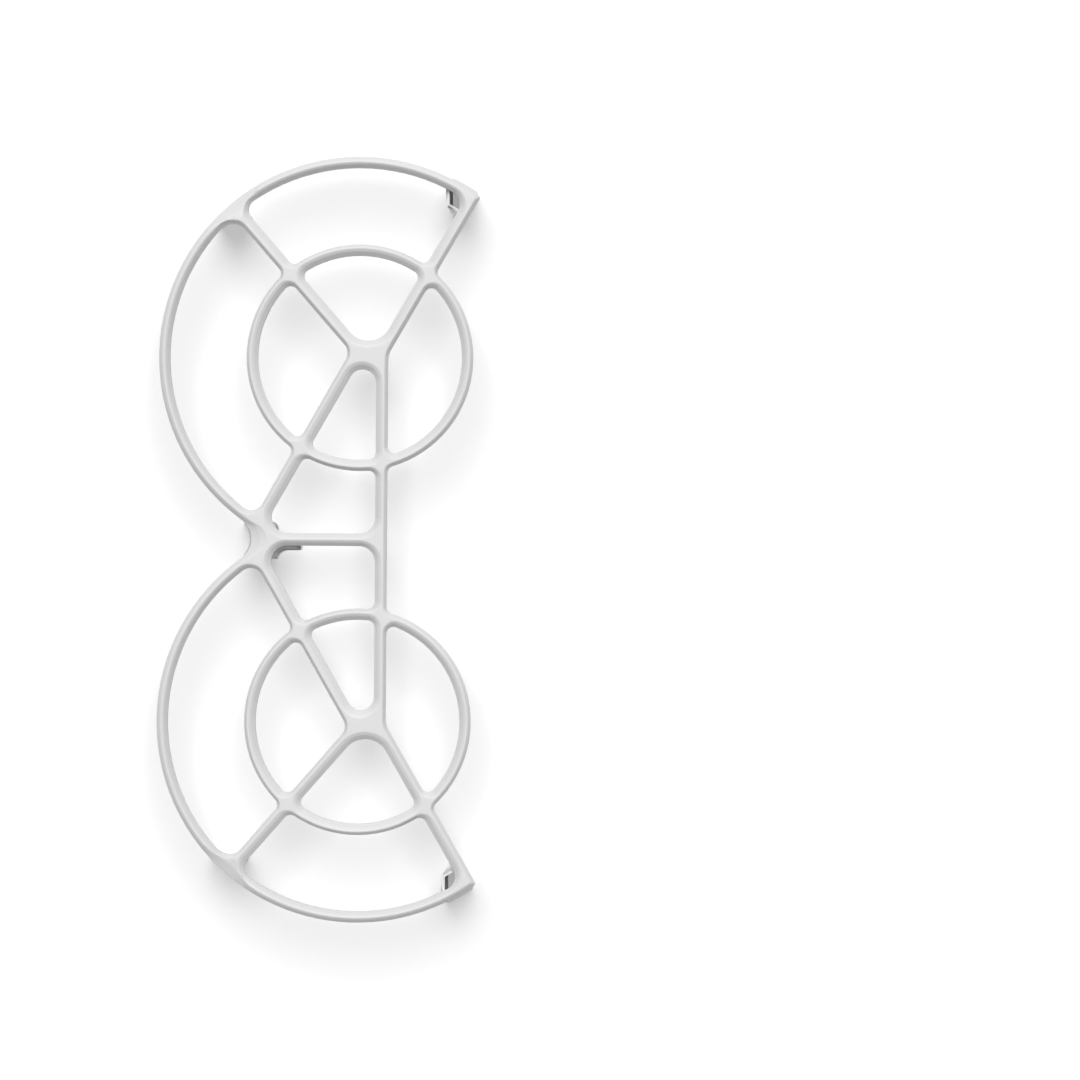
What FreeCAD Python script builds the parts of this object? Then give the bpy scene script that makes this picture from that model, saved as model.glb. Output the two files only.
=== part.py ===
import FreeCAD, Part
import Sketcher
import math
import os

# Drone propeller guard, one moulded frame for the two rotors on one side of a small folding drone.
# It is modelled in millimetres round the line that joins the two rotor axes, and its last step
# puts the origin under the middle of the frame: X across, Y along the pair of rotors, Z up.
# The front rotor's half is drawn, and the other half is its mirror image.

doc = FreeCAD.newDocument("propeller_guard")

# Driving dimensions

SIZES = (
    ("rotor_spacing", 126.0, "between the axes of the two rotors"),
    ("rim_radius", 69.5, "outer radius of the rim round a rotor"),
    ("rim_width", 3.8, "width of the rim seen from above"),
    ("ring_radius", 39.2, "outer radius of the inner ring round a rotor"),
    ("ring_width", 3.9, "width of the inner ring"),
    ("spoke_width", 4.3, "width of a spoke"),
    ("spine_width", 4.1, "width of the spine"),
    ("bar_width", 4.4, "width of the cross bar"),
    ("spine_offset", 7.7, "from the rotor axis to the middle of the spine"),
    ("outer_spoke_angle", 131.1, "heading of the spoke to the outer leg"),
    ("outer_spoke_miss", -1.0, "how far that spoke passes beside the rotor axis"),
    ("tip_spoke_angle", 60.0, "heading of the spoke to the pointed tip"),
    ("tip_spoke_miss", -5.7, "how far that spoke passes beside the rotor axis"),
    ("waist_spoke_miss", -1.8, "how far the waist spoke passes beside the rotor axis"),
    ("waist_aim", 0.8, "from the waist's outer hollow out to where the two waist spokes aim"),
    ("web_height", 4.0, "height of rim, rings and spokes"),
    ("wall_height", 1.9, "upright part of that height, below the bevels"),
    ("crown_drop", 0.55, "height of the flatter upper bevel"),
    ("crown_share", 0.6, "share of a bevel's width that its steep lower part takes"),
    ("ridge_width", 0.5, "flat left along the top of a member"),
    ("narrow_bevel", 1.15, "width of the narrow bevel of rings and spokes"),
    ("crossing_radius", 2.5, "corner where a spoke crosses the ring"),
    ("outer_node_radius", 5.5, "corner of the long opening at the outer leg"),
    ("front_node_radius", 4.0, "corner of the front opening at the outer leg"),
    ("tip_node_radius", 5.0, "corner of the front opening at the tip"),
    ("waist_node_radius", 4.5, "corner of the long opening at the waist"),
    ("front_hub_radius", 8.3, "hub corner between outer and tip spokes"),
    ("side_hub_radius", 4.5, "hub corner between outer and waist spokes"),
    ("spine_hub_radius", 8.0, "hub corner between tip spoke and spine"),
    ("narrow_hub_radius", 4.75, "hub corner between waist spoke and spine"),
    ("bar_corner_radius", 5.5, "corners at the two ends of the cross bar"),
    ("waist_radius", 8.0, "outer hollow between the two rims"),
    ("waist_slope", 8.5, "how far that hollow's centre moves in from its foot to its crest"),
    ("tip_radius", 0.7, "rounding of the pointed tip"),
    ("shoulder_depth", 4.2, "how far the crest draws back above an outer leg"),
    ("shoulder_angle", 11.0, "half the angle that this shoulder takes"),
    ("leg_height", 21.0, "from the foot to the underside of rim and spokes"),
    ("leg_splay", 2.6, "how far a foot stands out beyond the rim"),
    ("leg_wall", 1.2, "wall of a leg"),
    ("leg_corner", 1.2, "rounding of a leg's upright corners"),
    ("leg_left", 8.0, "outer leg's reach on the long opening's side of its spoke"),
    ("leg_right", 3.3, "outer leg's reach on the front opening's side of its spoke"),
    ("leg_taper", 1.4, "how much narrower each side of a leg is at the foot"),
    ("socket_length", 8.6, "tip socket, from the tip back along its spoke"),
    ("socket_reach", 12.0, "tip socket, from the tip to its side wall, across the drone"),
    ("socket_wall", 1.2, "wall of the tip socket"),
    ("waist_leg_half", 6.2, "half the length of the waist leg"),
    ("waist_leg_depth", 9.0, "depth of the waist leg from the hollow inwards"),
    ("lip_reach", 1.6, "how far the clip lip stands out beside the cross bar"),
    ("lip_under", 1.2, "how far the clip lip reaches in under the cross bar"),
    ("lip_run", 4.714, "straight run of the clip lip along the cross bar, past its corner"),
    ("lip_rise", 6.8, "how far the clip lip turns along the waist spoke"),
    ("lip_height", 8.0, "height of the clip lip below the cross bar"),
    ("barb_depth", 1.0, "how far a snap barb stands out"),
    ("barb_height", 3.2, "height of a snap barb"),
    ("barb_length", 3.0, "length of a snap barb"),
    ("barb_lift", 1.5, "from the foot to the snap barb"),
)

sheet = doc.addObject("Spreadsheet::Sheet", "Sizes")
for row, (name, value, meaning) in enumerate(SIZES, start=1):
    sheet.set(f"A{row}", meaning)
    sheet.set(f"B{row}", str(value))
    sheet.setAlias(f"B{row}", name)
doc.recompute()


def size(name):
    return float(sheet.get(name))


def polar(centre, radius, angle):
    turn = math.radians(angle)
    return centre + FreeCAD.Vector(radius * math.cos(turn), radius * math.sin(turn), 0)


def heading(angle):
    return polar(FreeCAD.Vector(0, 0, 0), 1, angle)


# Edges of the plan. Each is travelled with the open air on its left and plastic on its right.


class Straight:
    def __init__(self, point, direction):
        self.point = point
        self.direction = direction
        self.air = FreeCAD.Vector(-direction.y, direction.x, 0)

    def moved(self, distance):
        return Straight(self.point + self.air * distance, self.direction)

    def reversed(self):
        return Straight(self.point, self.direction * -1)

    def nearest(self, point):
        return self.point + self.direction * (point - self.point).dot(self.direction)

    def edge(self, begin, end):
        return [Part.makeLine(begin, end)]


class Round:
    """A circular edge with the air outside it (side 1) or inside it (side -1)."""

    def __init__(self, centre, radius, side):
        self.centre = centre
        self.radius = radius
        self.side = side

    def moved(self, distance):
        return Round(self.centre, self.radius + self.side * distance, self.side)

    def nearest(self, point):
        return self.centre + (point - self.centre).normalize() * self.radius

    def angle(self, point):
        away = point - self.centre
        return math.degrees(math.atan2(away.y, away.x))

    def arc(self, begin, end):
        sweep = (self.angle(begin) - self.angle(end)) * self.side % 360
        middle = polar(self.centre, self.radius, self.angle(begin) - self.side * sweep / 2)
        return Part.Arc(begin, middle, end).toShape()

    def edge(self, begin, end):
        return [self.arc(begin, end)]


class Shouldered(Round):
    """The rim's outer edge, which draws back over a leg in one smooth wave."""

    def __init__(self, centre, radius, middle, half_angle, depth):
        super().__init__(centre, radius, 1)
        self.middle = middle
        self.half_angle = half_angle
        self.depth = depth

    def edge(self, begin, end):
        wave_steps = 8
        travel = 1 if (self.angle(begin) - self.middle) % 360 > 180 else -1
        points = []
        for step in range(wave_steps + 1):
            share = 2 * step / wave_steps - 1
            drawn_back = self.depth * (1 + math.cos(math.pi * share)) / 2
            angle = self.middle + travel * share * self.half_angle
            points.append(polar(self.centre, self.radius - drawn_back, angle))
        wave = Part.BSplineCurve()
        along = [heading(self.middle + travel * (share * self.half_angle + 90)) for share in (-1, 1)]
        wave.interpolate(Points=points, InitialTangent=along[0], FinalTangent=along[1])
        before = self.arc(begin, points[0])
        after = self.arc(points[-1], end)
        return [before, wave.toShape(), after]


def line_meets_circle(line, circle):
    foot = line.nearest(circle.centre)
    reach = math.sqrt(circle.radius ** 2 - (foot - circle.centre).Length ** 2)
    return [foot + line.direction * reach, foot - line.direction * reach]


def circle_meets_circle(first, second):
    apart = second.centre - first.centre
    gap = apart.Length
    along = (gap ** 2 + first.radius ** 2 - second.radius ** 2) / (2 * gap)
    across = math.sqrt(first.radius ** 2 - along ** 2)
    apart.normalize()
    foot = first.centre + apart * along
    sideways = FreeCAD.Vector(-apart.y, apart.x, 0) * across
    return [foot + sideways, foot - sideways]


def line_meets_line(first, second):
    turn = first.direction.dot(second.air)
    return [first.point + first.direction * ((second.point - first.point).dot(second.air) / turn)]


def meet(first, second, near):
    """The point where two plan edges cross, nearest to a given point."""
    if isinstance(first, Straight) and isinstance(second, Straight):
        found = line_meets_line(first, second)
    elif isinstance(first, Straight):
        found = line_meets_circle(first, second)
    elif isinstance(second, Straight):
        found = line_meets_circle(second, first)
    else:
        found = circle_meets_circle(first, second)
    return min(found, key=lambda point: (point - near).Length)


def plan_wire(edges, corners, height):
    """A closed outline of plan edges, with an arc in each corner.

    A corner is the point that it lies near and its radius: above zero for a corner of the air,
    below zero for a rounded corner of the plastic and zero for a sharp one.
    """
    arcs = []
    for index, (near, radius) in enumerate(corners):
        before = edges[index]
        after = edges[(index + 1) % len(edges)]
        centre = meet(before.moved(radius), after.moved(radius), near)
        start = before.nearest(centre)
        end = after.nearest(centre)
        middle = centre
        if radius:
            middle = centre + ((start + end) * 0.5 - centre).normalize() * abs(radius)
        arcs.append((start, middle, end))
    shapes = []
    for index, edge in enumerate(edges):
        shapes.extend(edge.edge(arcs[index - 1][2], arcs[index][0]))
        if corners[index][1]:
            shapes.append(Part.Arc(*arcs[index]).toShape())
    wire = Part.Wire(shapes)
    wire.translate(FreeCAD.Vector(0, 0, height))
    return wire


# Members of the frame, seen from above


class Spoke:
    """A straight member. Its left and right are seen from its hub end."""

    def __init__(self, point, angle, width):
        self.point = point
        self.direction = heading(angle)
        self.width = width

    def bank(self, inset):
        middle = Straight(self.point, self.direction)
        return middle.moved(self.width / 2 - inset)

    def left(self, inset):
        return self.bank(inset)

    def right(self, inset):
        other = Straight(self.point, self.direction * -1)
        return other.moved(self.width / 2 - inset)


class Band:
    """A member that runs round a rotor."""

    def __init__(self, centre, radius, width):
        self.centre = centre
        self.radius = radius
        self.width = width

    def outer(self, inset):
        return Round(self.centre, self.radius - inset, 1)

    def inner(self, inset):
        return Round(self.centre, self.radius - self.width + inset, -1)

    def middle(self):
        return Round(self.centre, self.radius - self.width / 2, 1)


rotor = FreeCAD.Vector(0, size("rotor_spacing") / 2, 0)
rim = Band(rotor, size("rim_radius"), size("rim_width"))
ring = Band(rotor, size("ring_radius"), size("ring_width"))


# The waist: the outer hollow touches both rims, and two spokes aim at a point just outside it
hollow_reach = size("rim_radius") + size("waist_radius")
hollow_centre = FreeCAD.Vector(-math.sqrt(hollow_reach ** 2 - rotor.y ** 2), 0, 0)
hollow_x = hollow_centre.x + size("waist_radius")
waist_point = FreeCAD.Vector(hollow_x - size("waist_aim"), 0, 0)


def spoke(angle, miss):
    beside = heading(angle + 90) * miss
    return Spoke(rotor + beside, angle, size("spoke_width"))


def angle_towards(point, miss):
    """The heading of a line that passes the rotor axis at a distance and then meets a point."""
    away = point - rotor
    return math.degrees(math.atan2(away.y, away.x) - math.asin(miss / away.Length))


outer_spoke = spoke(size("outer_spoke_angle"), size("outer_spoke_miss"))
tip_spoke = spoke(size("tip_spoke_angle"), size("tip_spoke_miss"))
waist_miss = size("waist_spoke_miss")
waist_spoke = spoke(angle_towards(waist_point, waist_miss), waist_miss)
spine = Spoke(rotor + FreeCAD.Vector(size("spine_offset"), 0, 0), 270, size("spine_width"))
bar = Spoke(FreeCAD.Vector(0, 0, 0), 0, size("bar_width"))


def crossing(member, band):
    """Where the middle of a straight member crosses the middle of a band, away from the hub."""
    line = Straight(member.point, member.direction)
    far = member.point + member.direction * band.radius
    return meet(line, band.middle(), far)


def junction(first, second):
    one = Straight(first.point, first.direction)
    two = Straight(second.point, second.direction)
    return meet(one, two, rotor)


outer_node = crossing(outer_spoke, rim)
tip_node = crossing(tip_spoke, rim)
waist_node = crossing(waist_spoke, rim)
bar_waist_node = junction(waist_spoke, bar)
bar_spine_node = junction(spine, bar)


# Bevels: how far each bank of a member draws back from its foot to its crest

narrow = size("narrow_bevel")
ridge = size("ridge_width")
rim_bevel = (size("rim_width") - ridge) / 2
bar_bevel = (size("bar_width") - ridge) / 2
ring_wide = size("ring_width") - ridge - narrow
spoke_wide = size("spoke_width") - ridge - narrow
spine_wide = size("spine_width") - ridge - narrow

underside = size("leg_height")
top = underside + size("web_height")
bevel_foot = underside + size("wall_height")
bevel_bend = top - size("crown_drop")
clearance = 1.0

# Height of each level of an opening and the share of the bevel's width that it has drawn back
OPENING_LEVELS = (
    (underside - clearance, 0),
    (bevel_foot, 0),
    (bevel_bend, size("crown_share")),
    (top, 1),
    (top + clearance, 1),
)
FRAME_LEVELS = (
    (underside, 0),
    (bevel_foot, 0),
    (bevel_bend, size("crown_share")),
    (top, 1),
)


def opening_wires(banks, corners):
    """The outlines of one opening, level by level. A bank is an edge and its bevel's width."""
    wires = []
    for height, share in OPENING_LEVELS:
        edges = [bank(share * bevel) for bank, bevel in banks]
        rounds = []
        for index, (near, radius) in enumerate(corners):
            bevels = banks[index][1] + banks[(index + 1) % len(banks)][1]
            rounds.append((near, radius + share * bevels / 2))
        wires.append(plan_wire(edges, rounds, height))
    return wires


crossing_radius = size("crossing_radius")

OPENINGS = {
    "front": (
        ((rim.inner, rim_bevel), (outer_spoke.right, spoke_wide),
         (ring.outer, narrow), (tip_spoke.left, spoke_wide)),
        ((outer_node, size("front_node_radius")), (crossing(outer_spoke, ring), crossing_radius),
         (crossing(tip_spoke, ring), crossing_radius), (tip_node, size("tip_node_radius"))),
    ),
    "long": (
        ((rim.inner, rim_bevel), (waist_spoke.right, narrow),
         (ring.outer, narrow), (outer_spoke.left, narrow)),
        ((waist_node, size("waist_node_radius")), (crossing(waist_spoke, ring), crossing_radius),
         (crossing(outer_spoke, ring), crossing_radius), (outer_node, size("outer_node_radius"))),
    ),
    "hub_front": (
        ((ring.inner, ring_wide), (outer_spoke.right, spoke_wide), (tip_spoke.left, spoke_wide)),
        ((crossing(outer_spoke, ring), crossing_radius),
         (junction(outer_spoke, tip_spoke), size("front_hub_radius")),
         (crossing(tip_spoke, ring), crossing_radius)),
    ),
    "hub_outer": (
        ((ring.inner, ring_wide), (waist_spoke.right, narrow), (outer_spoke.left, narrow)),
        ((crossing(waist_spoke, ring), crossing_radius),
         (junction(waist_spoke, outer_spoke), size("side_hub_radius")),
         (crossing(outer_spoke, ring), crossing_radius)),
    ),
    "hub_side": (
        ((ring.inner, ring_wide), (tip_spoke.right, narrow), (spine.left, narrow)),
        ((crossing(tip_spoke, ring), crossing_radius),
         (junction(tip_spoke, spine), size("spine_hub_radius")),
         (crossing(spine, ring), crossing_radius)),
    ),
    "hub_narrow": (
        ((ring.inner, ring_wide), (spine.right, spine_wide), (waist_spoke.left, spoke_wide)),
        ((crossing(spine, ring), crossing_radius),
         (junction(spine, waist_spoke), size("narrow_hub_radius")),
         (crossing(waist_spoke, ring), crossing_radius)),
    ),
    "bar_side": (
        ((bar.left, bar_bevel), (spine.right, spine_wide),
         (ring.outer, narrow), (waist_spoke.left, spoke_wide)),
        ((bar_spine_node, size("bar_corner_radius")), (crossing(spine, ring), crossing_radius),
         (crossing(waist_spoke, ring), crossing_radius),
         (bar_waist_node, size("bar_corner_radius"))),
    ),
}


def feature(name, shape):
    made = doc.addObject("Part::Feature", name)
    made.Shape = shape
    return made


def loft(name, wires):
    """A solid through closed outlines that have the same edges in the same order."""
    made = doc.addObject("Part::Loft", name)
    made.Sections = [feature(f"{name}_outline_{index}", wire) for index, wire in enumerate(wires)]
    made.Solid = True
    made.Ruled = True
    return made


def mirrored(name, source):
    """The same form on the other rotor's side of the cross bar."""
    made = doc.addObject("Part::Mirroring", name)
    made.Source = source
    made.Base = FreeCAD.Vector(0, 0, 0)
    made.Normal = FreeCAD.Vector(0, 1, 0)
    return made


# The outer edge of the frame, clockwise from the waist


def flipped(point):
    return FreeCAD.Vector(point.x, -point.y, 0)


def frame_wire(height, share):
    """The frame's whole outline at one level."""
    shoulder = share * size("shoulder_depth")
    angle = size("outer_spoke_angle")
    half_angle = size("shoulder_angle")
    radius = size("rim_radius") - share * rim_bevel
    back_rotor = flipped(rotor)
    back_ring = Band(back_rotor, ring.radius, ring.width)
    back_spoke = Spoke(flipped(tip_spoke.point), -size("tip_spoke_angle"), tip_spoke.width)
    edges = [
        Shouldered(rotor, radius, angle, half_angle, shoulder),
        tip_spoke.right(share * narrow),
        ring.outer(share * narrow),
        spine.left(share * narrow),
        back_ring.outer(share * narrow),
        back_spoke.left(share * narrow),
        Shouldered(back_rotor, radius, -angle, half_angle, shoulder),
    ]
    tip = -size("tip_radius")
    inner_corner = crossing_radius + share * narrow
    slid_centre = hollow_centre + FreeCAD.Vector(share * size("waist_slope"), 0, 0)
    waist = (slid_centre - rotor).Length - radius
    ring_tip = crossing(tip_spoke, ring)
    ring_spine = crossing(spine, ring)
    corners = [
        (tip_node, tip),
        (ring_tip, inner_corner),
        (ring_spine, inner_corner),
        (flipped(ring_spine), inner_corner),
        (flipped(ring_tip), inner_corner),
        (flipped(tip_node), tip),
        (hollow_centre, waist),
    ]
    return plan_wire(edges, corners, height)


web_blank = loft("web_blank", [frame_wire(height, share) for height, share in FRAME_LEVELS])
cutters = []
for name, (banks, corners) in OPENINGS.items():
    cutter = loft(f"opening_{name}", opening_wires(banks, corners))
    cutters.append(cutter)
    cutters.append(mirrored(f"opening_{name}_back", cutter))

openings = doc.addObject("Part::Compound", "openings")
openings.Links = cutters
web = doc.addObject("Part::Cut", "web")
web.Base = web_blank
web.Tool = openings
doc.recompute()


# Legs: tapered hollow posts under the rim

splay = size("leg_splay")
taper = size("leg_taper")
leg_corner = -size("leg_corner")


def post(name, foot, head, corners, wall, open_top=False):
    """A hollow post. foot and head give its plan edges, drawn in by a wall inset."""
    inside_top = underside + clearance if open_top else underside

    def wires(inset, low, high):
        rounds = [(near, min(radius + inset, 0)) for near, radius in corners]
        return [plan_wire(foot(inset), rounds, low), plan_wire(head(inset), rounds, high)]

    shell = doc.addObject("Part::Cut", name)
    shell.Base = loft(name + "_outside", wires(0, 0, underside))
    shell.Tool = loft(name + "_inside", wires(wall, -clearance, inside_top))
    return shell


def barb(name, point, angle):
    """A snap barb near a leg's foot, standing out of its wall at a point of the plan."""
    body = doc.addObject("PartDesign::Body", name)
    sketch = body.newObject("Sketcher::SketchObject", name + "_section")
    plane = [item for item in body.Origin.OriginFeatures if item.Role == "XZ_Plane"][0]
    sketch.AttachmentSupport = [(plane, "")]
    sketch.MapMode = "FlatFace"
    low = FreeCAD.Vector(-size("leg_wall") / 2, 0, 0)
    crest = FreeCAD.Vector(size("barb_depth"), size("barb_height") / 2, 0)
    high = FreeCAD.Vector(-size("leg_wall") / 2, size("barb_height"), 0)
    for begin, finish in ((low, crest), (crest, high), (high, low)):
        sketch.addGeometry(Part.LineSegment(begin, finish), False)
    for index in range(3):
        sketch.addConstraint(Sketcher.Constraint("Coincident", index, 2, (index + 1) % 3, 1))
    sketch.addConstraint(Sketcher.Constraint("Vertical", 2))
    sketch.addConstraint(Sketcher.Constraint("PointOnObject", 0, 1, -1))
    measures = (
        ("sunk", ("DistanceX", 0, 1, -1, 1, -low.x), "Sizes.leg_wall / 2"),
        ("depth", ("DistanceX", -1, 1, 0, 2, crest.x), "Sizes.barb_depth"),
        ("middle", ("DistanceY", -1, 1, 0, 2, crest.y), "Sizes.barb_height / 2"),
        ("height", ("DistanceY", 2, 2, 2, 1, high.y), "Sizes.barb_height"),
    )
    for label, measure, expression in measures:
        index = sketch.addConstraint(Sketcher.Constraint(*measure))
        sketch.renameConstraint(index, label)
        sketch.setExpression("Constraints." + label, expression)
    pad = body.newObject("PartDesign::Pad", name + "_pad")
    pad.Profile = sketch
    pad.Midplane = True
    pad.setExpression("Length", "Sizes.barb_length")
    body.Tip = pad
    turn = FreeCAD.Rotation(FreeCAD.Vector(0, 0, 1), angle)
    body.Placement = FreeCAD.Placement(point + FreeCAD.Vector(0, 0, size("barb_lift")), turn)
    return body


# Outer leg, under the node where the outer spoke meets the rim. Its inner wall carries on down
# from the arch that ends the long opening there.

outward = heading(size("outer_spoke_angle"))
sideways = heading(size("outer_spoke_angle") + 90)
arch_radius = size("outer_node_radius")
arch_centre = meet(rim.inner(0).moved(arch_radius), outer_spoke.left(0).moved(arch_radius), outer_node)
leg_inside = (arch_centre - rotor).dot(outward)
leg_left = size("leg_left")
leg_right = size("leg_right")


def outer_leg_edges(splay, taper):
    """Rim side, front side, inner side, arch and long opening's side of the outer leg."""

    def edges(inset):
        return [
            Round(rotor, size("rim_radius") + splay - inset, 1),
            Straight(rotor - sideways * (leg_right - taper - inset), outward * -1),
            Straight(rotor + outward * (leg_inside + splay + inset), sideways),
            Round(arch_centre + outward * splay, arch_radius + inset, -1),
            Straight(rotor + sideways * (leg_left - taper - inset), outward),
        ]

    return edges


rim_reach = outward * size("rim_radius")
outer_leg_corners = [
    (rotor + rim_reach - sideways * leg_right, leg_corner),
    (rotor + outward * leg_inside - sideways * leg_right, leg_corner),
    (outer_spoke.left(0).nearest(arch_centre), leg_corner),
    (rotor + outward * (leg_inside + arch_radius) + sideways * leg_left, leg_corner),
    (rotor + rim_reach + sideways * leg_left, leg_corner),
]
outer_leg = post("outer_leg", outer_leg_edges(splay, taper / 2), outer_leg_edges(0, 0),
                 outer_leg_corners, size("leg_wall"))
leg_middle = outward * (leg_inside + size("rim_radius")) / 2 + outward * splay
outer_barb = barb("outer_leg_barb", rotor + leg_middle - sideways * (leg_right - taper / 2),
                  size("outer_spoke_angle") - 90)


# Tip leg: a socket that is open at its top, in the corner between the rim and the tip spoke

tip_point = meet(rim.outer(0), tip_spoke.right(0), tip_node)
back_along = tip_spoke.direction * -size("socket_length")
side_x = tip_point.x - size("socket_reach")


def tip_leg_edges(splay, taper):
    """Rim side, spoke side, end wall and side wall of the tip leg."""

    def edges(inset):
        end_wall = Straight(tip_point + back_along, heading(size("tip_spoke_angle") + 90))
        side_wall = Straight(FreeCAD.Vector(side_x, tip_point.y, 0), heading(90))
        return [
            Round(rotor, size("rim_radius") + splay - inset, 1),
            tip_spoke.right(2 * taper + inset),
            end_wall.moved(-taper / 2 - inset),
            side_wall.moved(-taper / 2 - inset),
        ]

    return edges


end_wall, side_wall = tip_leg_edges(0, 0)(0)[2:]
tip_leg_corners = [
    (tip_point, -size("socket_wall")),
    (tip_point + back_along, -size("socket_wall")),
    (meet(end_wall, side_wall, tip_point), -size("socket_wall")),
    (meet(side_wall, rim.outer(0), tip_point), -size("socket_wall")),
]
tip_leg = post("tip_leg", tip_leg_edges(splay, taper), tip_leg_edges(0, 0),
               tip_leg_corners, size("socket_wall"), open_top=True)
end_middle = meet(end_wall, side_wall, tip_point) * 0.5 + (tip_point + back_along) * 0.5
tip_barb = barb("tip_leg_barb", end_middle, size("tip_spoke_angle") + 180)


# Waist leg, under the node where the two rims and the cross bar meet

waist_half = size("waist_leg_half")
inner_x = hollow_x + size("waist_leg_depth")


def waist_leg_edges(splay, taper):
    """Hollow side, front side, inner side and back side of the waist leg."""

    def edges(inset):
        centre = hollow_centre - FreeCAD.Vector(splay, 0, 0)
        across = waist_half - inset
        return [
            Round(centre, size("waist_radius") + inset, -1),
            Straight(FreeCAD.Vector(inner_x, across, 0), heading(0)),
            Straight(FreeCAD.Vector(inner_x - taper - inset, 0, 0), heading(270)),
            Straight(FreeCAD.Vector(inner_x, -across, 0), heading(180)),
        ]

    return edges


waist_leg_corners = [
    (FreeCAD.Vector(hollow_x, waist_half, 0), leg_corner / 2),
    (FreeCAD.Vector(inner_x, waist_half, 0), 2 * leg_corner),
    (FreeCAD.Vector(inner_x, -waist_half, 0), 2 * leg_corner),
    (FreeCAD.Vector(hollow_x, -waist_half, 0), leg_corner / 2),
]
waist_leg = post("waist_leg", waist_leg_edges(splay, taper), waist_leg_edges(0, 0),
                 waist_leg_corners, size("leg_wall"))
waist_barb = barb("waist_leg_barb", FreeCAD.Vector(inner_x - taper, 0, 0), 0)


# Clip lip: a wall that turns the corner between the cross bar and the back waist spoke


def lip_wire(height):
    far_bar = bar.left(0).moved(size("lip_reach"))
    near_bar = bar.left(0).moved(-size("lip_under")).reversed()
    far_spoke = waist_spoke.left(0).moved(size("lip_reach"))
    near_spoke = waist_spoke.left(0).moved(-size("lip_under")).reversed()
    corner = size("bar_corner_radius")
    turn = meet(bar.left(0).moved(corner), waist_spoke.left(0).moved(corner), rotor)
    bar_end = Straight(turn + FreeCAD.Vector(size("lip_run"), 0, 0), heading(270))
    spoke_end = Straight(turn + FreeCAD.Vector(0, 2 * corner, 0), heading(0))
    end_corner = -(size("lip_reach") + size("lip_under")) / 4
    edges = [far_bar, bar_end, near_bar, near_spoke, spoke_end, far_spoke]
    corners = [
        (meet(far_bar, bar_end, rotor), end_corner),
        (meet(bar_end, near_bar, rotor), end_corner),
        (meet(near_bar, near_spoke, rotor), -(corner + size("lip_under"))),
        (meet(near_spoke, spoke_end, rotor), end_corner),
        (meet(spoke_end, far_spoke, rotor), end_corner),
        (meet(far_spoke, far_bar, rotor), corner - size("lip_reach")),
    ]
    return plan_wire(edges, corners, height)


lip_wall = loft("lip_wall", [lip_wire(underside - size("lip_height")), lip_wire(underside)])
lip_limit = doc.addObject("Part::Box", "lip_limit")
lip_limit.setExpression("Length", "2 * Sizes.rim_radius")
lip_limit.setExpression("Width", "Sizes.lip_rise")
lip_limit.setExpression("Height", "Sizes.leg_height + Sizes.web_height")
lip_limit.setExpression("Placement.Base.x", "-Sizes.rim_radius")
front_lip = doc.addObject("Part::Common", "front_lip")
front_lip.Base = lip_wall
front_lip.Tool = lip_limit
clip_lip = mirrored("clip_lip", front_lip)
doc.recompute()


# The whole moulding, with its origin under the middle of the frame, level with its feet

paired = [outer_leg, outer_barb, tip_leg, tip_barb]
pieces = [web, waist_leg, waist_barb, clip_lip] + paired
pieces += [mirrored(source.Name + "_back", source) for source in paired]
guard_frame = doc.addObject("Part::MultiFuse", "guard_frame")
guard_frame.Label = "guard_frame"
guard_frame.Shapes = pieces
doc.recompute()
box = guard_frame.Shape.optimalBoundingBox()
guard_frame.Placement.Base = FreeCAD.Vector(-box.Center.x, -box.Center.y, -box.ZMin)
doc.recompute()

for item in doc.Objects:
    if "Invalid" in item.State or "Error" in item.State:
        raise RuntimeError(f"{item.Label} could not be built: {item.State}")
shape = guard_frame.Shape
if shape.isNull() or not shape.isValid() or len(shape.Solids) != 1:
    raise RuntimeError("guard_frame is not one valid solid")
print("faces", len(shape.Faces), "volume", round(shape.Volume), shape.optimalBoundingBox())

os.makedirs("parts", exist_ok=True)
shape.exportStep("parts/guard_frame.step")
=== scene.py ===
# %% [markdown]
# # A drone propeller guard in moulded plastic
#
# The guard is one thin moulding: two rims, two rings and a few spokes on five legs, in light
# grey plastic. The solid model already has every member, bevel and leg in its place, so this
# lesson is about finish: soft moulded edges, a plastic that looks like plastic, and a light
# table seen from straight above.

# %% Load the solid model
import bpy
import bmesh
import math
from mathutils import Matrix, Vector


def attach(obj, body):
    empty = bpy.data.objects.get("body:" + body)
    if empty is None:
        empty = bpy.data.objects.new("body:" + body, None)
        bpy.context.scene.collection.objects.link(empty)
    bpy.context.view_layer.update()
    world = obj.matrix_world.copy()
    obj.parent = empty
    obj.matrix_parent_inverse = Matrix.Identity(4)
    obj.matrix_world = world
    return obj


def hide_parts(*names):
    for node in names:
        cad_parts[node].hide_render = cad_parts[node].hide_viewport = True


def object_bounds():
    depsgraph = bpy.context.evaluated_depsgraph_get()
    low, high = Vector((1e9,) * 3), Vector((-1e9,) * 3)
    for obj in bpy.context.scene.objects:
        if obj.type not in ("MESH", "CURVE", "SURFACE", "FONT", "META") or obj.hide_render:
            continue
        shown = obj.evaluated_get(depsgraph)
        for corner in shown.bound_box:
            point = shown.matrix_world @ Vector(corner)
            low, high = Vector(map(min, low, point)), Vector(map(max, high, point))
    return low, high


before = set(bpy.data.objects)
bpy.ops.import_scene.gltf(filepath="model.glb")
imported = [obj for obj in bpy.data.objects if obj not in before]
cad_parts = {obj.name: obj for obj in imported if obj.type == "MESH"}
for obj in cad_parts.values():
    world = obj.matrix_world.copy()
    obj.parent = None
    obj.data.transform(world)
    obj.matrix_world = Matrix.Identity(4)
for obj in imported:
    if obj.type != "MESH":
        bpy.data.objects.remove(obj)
cad_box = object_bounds()
scene = bpy.context.scene
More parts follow.
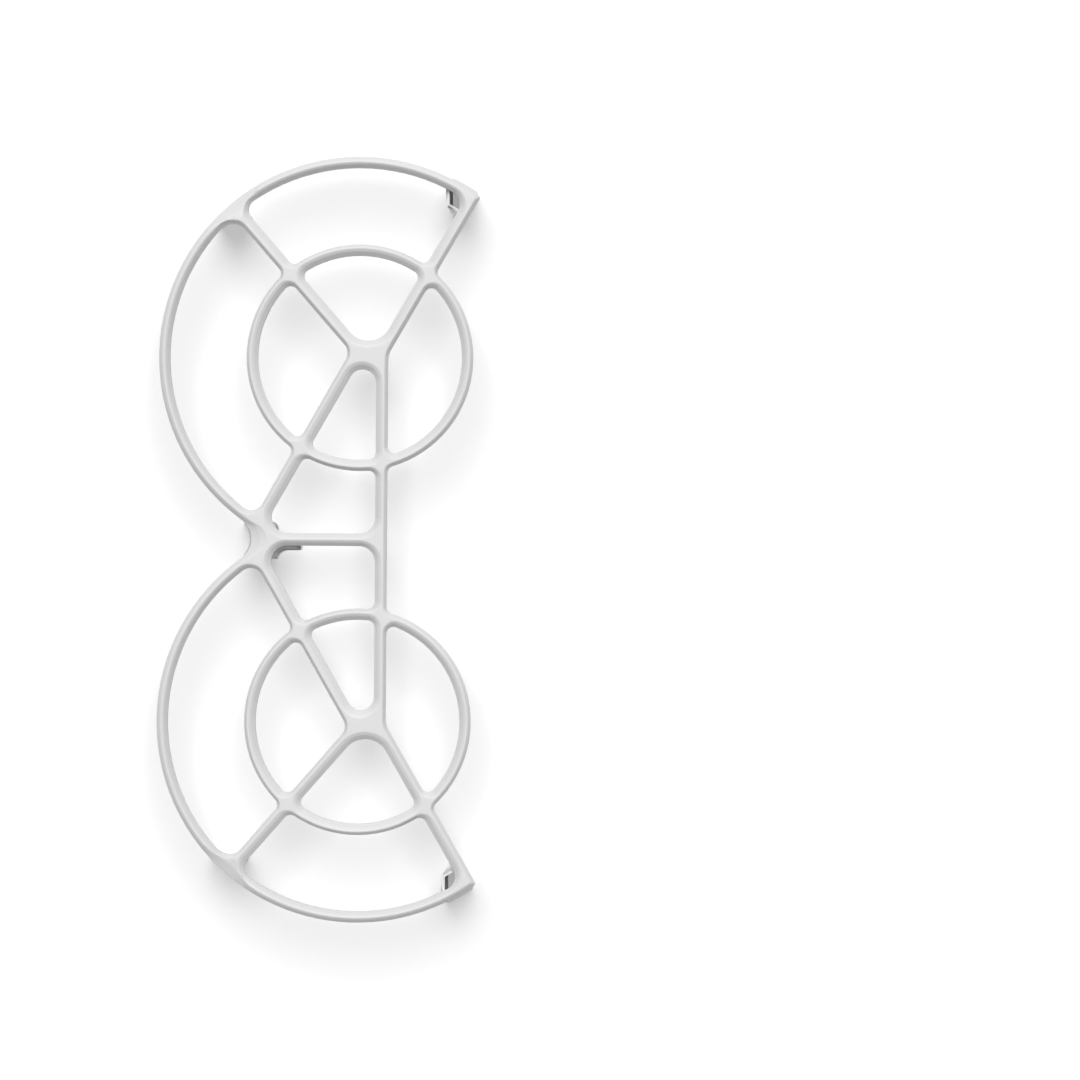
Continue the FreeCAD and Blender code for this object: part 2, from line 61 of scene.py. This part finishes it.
print("solid model from", cad_box[0], "to", cad_box[1])

# %% [markdown]
# ## What the photograph measures
#
# A camera can be placed by eye until the picture fits, but a good measure in the photograph is
# quicker. The two inner rings come out as true circles of one size, so the lens axis is upright,
# and the gap between their centres is the real distance between the two rotors.

# %% Measures of the photograph
PHOTO_WIDTH = 1080
FRONT_RING = (359.6, 357.3)
BACK_RING = (357.0, 722.2)
ROTOR_SPACING = 0.126

ring_gap = BACK_RING[1] - FRONT_RING[1]
pixels_per_metre = ring_gap / ROTOR_SPACING
across = (PHOTO_WIDTH / 2 - (FRONT_RING[0] + BACK_RING[0]) / 2) / pixels_per_metre
along = ((FRONT_RING[1] + BACK_RING[1]) / 2 - PHOTO_WIDTH / 2) / pixels_per_metre
roll = math.atan2(FRONT_RING[0] - BACK_RING[0], ring_gap)
print("the photograph has", round(pixels_per_metre), "pixels for each metre of the guard")

# %% [markdown]
# ## The camera
#
# The camera stands upright over the middle of the photograph, which lies beside the guard, and is
# turned by a fraction of a degree. Its height is judged from how far the feet shift inwards, and
# the lens then follows from the scale. The line through both rotors is found from the guard's own
# edge, so that the camera keeps its place over the guard.

# %% Camera
CAMERA_HEIGHT = 1.10
SENSOR_WIDTH = 36
FARTHEST_SEEN = 20
TIPS_PAST_ROTORS = 0.0411058

rotor_line = cad_box[1][0] - TIPS_PAST_ROTORS
frame_top = cad_box[1][2]
camera_data = bpy.data.cameras.new("camera")
camera_data.sensor_width = SENSOR_WIDTH
camera_data.lens = SENSOR_WIDTH * CAMERA_HEIGHT * pixels_per_metre / PHOTO_WIDTH
camera_data.clip_end = FARTHEST_SEEN
camera = bpy.data.objects.new("camera", camera_data)
camera.location = (
    rotor_line + across * math.cos(roll) - along * math.sin(roll),
    across * math.sin(roll) + along * math.cos(roll),
    frame_top + CAMERA_HEIGHT,
)
camera.rotation_euler = (0, 0, roll)
scene.collection.objects.link(camera)
scene.camera = camera
print("camera over", tuple(camera.location), "lens", camera_data.lens)

# %% [markdown]
# ## Helpers for node materials
#
# Every material here is a small network, so two helpers keep the wiring short: one adds a
# node with its settings, and one starts a material with an empty network.


# %% Node helpers
def add_node(tree, kind, **values):
    node = tree.nodes.new(kind)
    for name, value in values.items():
        setattr(node, name, value)
    return node


def empty_material(name):
    material = bpy.data.materials.new(name)
    material.use_nodes = True
    material.node_tree.nodes.clear()
    return material, material.node_tree


print("node helpers ready")

# %% [markdown]
# ## The plastic's colour and texture
#
# The guard is light grey plastic straight from the mould. It has a fine spark-eroded texture
# that only shows as softness, and a trace of cloudiness in its colour. Both could be painted on,
# but noise on object coordinates stays at its real size, and needs no unwrapping of a thin net.

# %% Colour and texture
PLASTIC_COLOUR = (0.70, 0.70, 0.698, 1)
PLASTIC_SHADE = (0.68, 0.68, 0.676, 1)
CLOUD_SIZE = 0.03
CLOUD_DETAIL = 3
TEXTURE_GRAIN = 0.00035
GRAIN_DETAIL = 2


def noise(tree, size, detail):
    """Noise whose lumps are about size metres wide."""
    place = add_node(tree, "ShaderNodeTexCoord")
    lumps = add_node(tree, "ShaderNodeTexNoise")
    lumps.inputs["Scale"].default_value = 1 / size
    lumps.inputs["Detail"].default_value = detail
    tree.links.new(place.outputs["Object"], lumps.inputs["Vector"])
    return lumps.outputs["Fac"]


def cloudy_colour(tree):
    colour = add_node(tree, "ShaderNodeMix", data_type="RGBA")
    colour.inputs["A"].default_value = PLASTIC_SHADE
    colour.inputs["B"].default_value = PLASTIC_COLOUR
    tree.links.new(noise(tree, CLOUD_SIZE, CLOUD_DETAIL), colour.inputs["Factor"])
    return colour.outputs["Result"]


print("clouds of", CLOUD_SIZE, "and grain of", TEXTURE_GRAIN, "metres")

# %% [markdown]
# ## Moulded plastic
#
# The same grain drives two things, as it does on the real surface: a bump of a few hundredths of
# a millimetre, and a sheen that is a little stronger in its hollows than on its tops. The sheen
# stays between satin and matte, because the photograph shows broad soft lights on the crests and
# no sharp ones.

# %% Plastic material
BUMP_STRENGTH = 0.25
BUMP_DEPTH = 0.00004
SMOOTHEST = 0.42
ROUGHEST = 0.52
PLASTIC_IOR = 1.5


def moulded_plastic():
    material, tree = empty_material("light_grey_plastic")
    grain = noise(tree, TEXTURE_GRAIN, GRAIN_DETAIL)
    bump = add_node(tree, "ShaderNodeBump")
    bump.inputs["Strength"].default_value = BUMP_STRENGTH
    bump.inputs["Distance"].default_value = BUMP_DEPTH
    tree.links.new(grain, bump.inputs["Height"])
    roughness = add_node(tree, "ShaderNodeMapRange")
    roughness.inputs["To Min"].default_value = SMOOTHEST
    roughness.inputs["To Max"].default_value = ROUGHEST
    tree.links.new(grain, roughness.inputs["Value"])
    shader = add_node(tree, "ShaderNodeBsdfPrincipled")
    shader.inputs["IOR"].default_value = PLASTIC_IOR
    tree.links.new(cloudy_colour(tree), shader.inputs["Base Color"])
    tree.links.new(roughness.outputs["Result"], shader.inputs["Roughness"])
    tree.links.new(bump.outputs["Normal"], shader.inputs["Normal"])
    output = add_node(tree, "ShaderNodeOutputMaterial")
    tree.links.new(shader.outputs["BSDF"], output.inputs["Surface"])
    return material


plastic = moulded_plastic()
print("plastic made with", len(plastic.node_tree.nodes), "nodes")

# %% [markdown]
# ## Choose the edges to soften
#
# No edge of a moulding is sharp, because the mould's own corners are rounded and polished. The
# edges that show run level, round every window and round the frame, so they can be picked by
# their height and direction and need no list. An upright edge between two short flats of an arc
# isn't picked, because smooth shading hides it.

# %% Edges
LEVEL_SLACK = 1e-5
LEVEL_FACE = 0.999
SMALLEST_TURN = math.radians(9)


def sloping_edges(shell):
    """The edges between faces that aren't level, such as the triangles of a spoke's side."""
    return [edge for edge in shell.edges
            if all(abs(face.normal.z) < LEVEL_FACE for face in edge.link_faces)]


def level_edges(shell, underside):
    """The outward edges above the underside that run level and turn enough to catch light."""
    chosen = []
    for edge in shell.edges:
        first, second = edge.verts
        level = abs(first.co.z - second.co.z) < LEVEL_SLACK
        if level and first.co.z > underside and edge.is_manifold and edge.is_convex:
            if edge.calc_face_angle() > SMALLEST_TURN:
                chosen.append(edge)
    return chosen


print("edges that turn less than", math.degrees(SMALLEST_TURN), "degrees stay as they are")

# %% [markdown]
# ## Round the edges
#
# The radius is a fifth of a millimetre. A voxel remesh would round every edge at once, but at any
# size that is practical it also blurs the bevels of the spokes, so each chosen edge is bevelled
# by itself. The solid model comes as triangles: those of one sloping face are joined first, so
# that the bevel runs over whole faces. The volume before and after tells whether it has folded
# over itself anywhere.

# %% Rounded edges
EDGE_SOFTNESS = 0.00018
EDGE_STEPS = 2
FACE_WELD = 1e-6
FLAT_ANGLE = math.radians(0.5)
WEB_HEIGHT = 0.004


def round_edges(shell):
    bmesh.ops.remove_doubles(shell, verts=shell.verts, dist=FACE_WELD)
    bmesh.ops.dissolve_limit(shell, angle_limit=FLAT_ANGLE, use_dissolve_boundaries=False,
                             verts=[], edges=sloping_edges(shell), delimit=set())
    sharp_volume = shell.calc_volume()
    edges = level_edges(shell, frame_top - WEB_HEIGHT + LEVEL_SLACK)
    bmesh.ops.bevel(shell, geom=edges, affect="EDGES", offset_type="OFFSET",
                    offset=EDGE_SOFTNESS, segments=EDGE_STEPS, profile=0.5,
                    clamp_overlap=False, loop_slide=True, material=-1)
    bmesh.ops.triangulate(shell, faces=shell.faces)
    open_edges = sum(not edge.is_manifold for edge in shell.edges)
    print("rounded", len(edges), "edges, volume", sharp_volume, "before and",
          shell.calc_volume(), "after,", open_edges, "open edges")


print("edges will be rounded by", EDGE_SOFTNESS, "metres")

# %% [markdown]
# ## The moulding
#
# The dressed guard is a copy of the solid, because the solid itself stays as it is. Its faces are
# shaded smooth except across true corners, and weighted normals keep the flats looking flat
# beside their narrow rounded edges.

# %% Guard frame
SHADE_ANGLE = math.radians(32)


def soft_edged_copy(node, name):
    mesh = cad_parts[node].data.copy()
    mesh.name = name
    mesh.materials.clear()
    shell = bmesh.new()
    shell.from_mesh(mesh)
    round_edges(shell)
    for face in shell.faces:
        face.smooth = True
    shell.to_mesh(mesh)
    shell.free()
    mesh.set_sharp_from_angle(angle=SHADE_ANGLE)
    piece = bpy.data.objects.new(name, mesh)
    scene.collection.objects.link(piece)
    weighted = piece.modifiers.new("flat_faces_rule", "WEIGHTED_NORMAL")
    weighted.keep_sharp = True
    return piece


guard = soft_edged_copy("guard_frame", "propeller_guard")
guard.data.materials.append(plastic)
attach(guard, "root")
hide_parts("guard_frame")
print(guard.name, "has", len(guard.data.polygons), "triangles")

# %% [markdown]
# ## The light table's surface
#
# The guard lies on plain white, like the glass of a light table. To the camera the table is
# pure white and glows a little of itself, so that it still takes the guard's shadow but never
# turns black, not even down inside the open tips. More lamps could do that too, but they would
# wash out the guard. This glow is seen by the camera, in reflections and through glass only, so
# the guard's shaded flanks stay shaded.

# %% Table material
TABLE_WHITE = (1, 1, 1, 1)
TABLE_BOUNCE = (0.8, 0.8, 0.8, 1)
TABLE_GLOW = 0.35
SEEN_AS_WHITE = 1.0


def bright_to_camera(tree):
    """A factor that is 1 for rays from the camera, in reflections and through glass."""
    rays = add_node(tree, "ShaderNodeLightPath")
    seen = add_node(tree, "ShaderNodeMath", operation="MAXIMUM")
    tree.links.new(rays.outputs["Is Camera Ray"], seen.inputs[0])
    tree.links.new(rays.outputs["Is Glossy Ray"], seen.inputs[1])
    either = add_node(tree, "ShaderNodeMath", operation="MAXIMUM")
    tree.links.new(seen.outputs["Value"], either.inputs[0])
    tree.links.new(rays.outputs["Is Transmission Ray"], either.inputs[1])
    return either.outputs["Value"]


def table_material():
    material, tree = empty_material("white_table")
    tone = add_node(tree, "ShaderNodeMix", data_type="RGBA")
    tone.inputs["A"].default_value = TABLE_BOUNCE
    tone.inputs["B"].default_value = TABLE_WHITE
    tree.links.new(bright_to_camera(tree), tone.inputs["Factor"])
    paper = add_node(tree, "ShaderNodeBsdfDiffuse")
    tree.links.new(tone.outputs["Result"], paper.inputs["Color"])
    glow = add_node(tree, "ShaderNodeEmission")
    glow.inputs["Strength"].default_value = SEEN_AS_WHITE
    share = add_node(tree, "ShaderNodeMath", operation="MULTIPLY")
    share.inputs[1].default_value = TABLE_GLOW
    tree.links.new(bright_to_camera(tree), share.inputs[0])
    glass = add_node(tree, "ShaderNodeMixShader")
    tree.links.new(share.outputs["Value"], glass.inputs["Fac"])
    tree.links.new(paper.outputs["BSDF"], glass.inputs[1])
    tree.links.new(glow.outputs["Emission"], glass.inputs[2])
    output = add_node(tree, "ShaderNodeOutputMaterial")
    tree.links.new(glass.outputs["Shader"], output.inputs["Surface"])
    return material


white_table = table_material()
print("table made with", len(white_table.node_tree.nodes), "nodes")

# %% [markdown]
# ## The table
#
# One flat square is enough, because nothing but the guard stands on it. It reaches far past the
# picture, and where it ends the room is as white as it is, so that no edge shows from the side.

# %% Floor
FLOOR_HALF = 3.0

floor_mesh = bpy.data.meshes.new("floor")
floor_shape = bmesh.new()
bmesh.ops.create_grid(floor_shape, x_segments=1, y_segments=1, size=FLOOR_HALF)
floor_shape.to_mesh(floor_mesh)
floor_shape.free()
floor = bpy.data.objects.new("floor", floor_mesh)
scene.collection.objects.link(floor)
floor_mesh.materials.append(white_table)
print("floor", 2 * FLOOR_HALF, "metres wide")

# %% [markdown]
# ## The key light
#
# The shadows are soft and fall a little down the picture, so the light is one broad source high
# up on the picture's upper side. An area lamp would be near and fall off along the guard. A sun
# lamp with a wide disc gives such a shadow at the same strength everywhere.

# %% Key light
KEY_TILT = math.radians(28)
KEY_WIDTH = math.radians(44)
KEY_LEVEL = 0.92

key_data = bpy.data.lights.new("broad_key", "SUN")
key_data.energy = KEY_LEVEL * math.pi
key_data.angle = KEY_WIDTH
key = bpy.data.objects.new("broad_key", key_data)
key.rotation_euler = (-KEY_TILT, 0, 0)
scene.collection.objects.link(key)
print("key light", KEY_LEVEL)

# %% [markdown]
# ## The room
#
# Even light from all round fills the shaded flanks. It is kept low, so that the flanks that face
# down the picture stay darker than the crests. The camera sees the room as white.

# %% Room light
ROOM_LEVEL = 0.21

world = bpy.data.worlds.new("room")
world.use_nodes = True
room = world.node_tree
room.nodes.clear()
level = add_node(room, "ShaderNodeMix", data_type="FLOAT")
level.inputs["A"].default_value = ROOM_LEVEL
level.inputs["B"].default_value = SEEN_AS_WHITE
room.links.new(bright_to_camera(room), level.inputs["Factor"])
sky = add_node(room, "ShaderNodeBackground")
sky.inputs["Color"].default_value = (1, 1, 1, 1)
room.links.new(level.outputs["Result"], sky.inputs["Strength"])
world_output = add_node(room, "ShaderNodeOutputWorld")
room.links.new(sky.outputs["Background"], world_output.inputs["Surface"])
scene.world = world
scene.view_settings.view_transform = "Standard"
print("room light", ROOM_LEVEL)
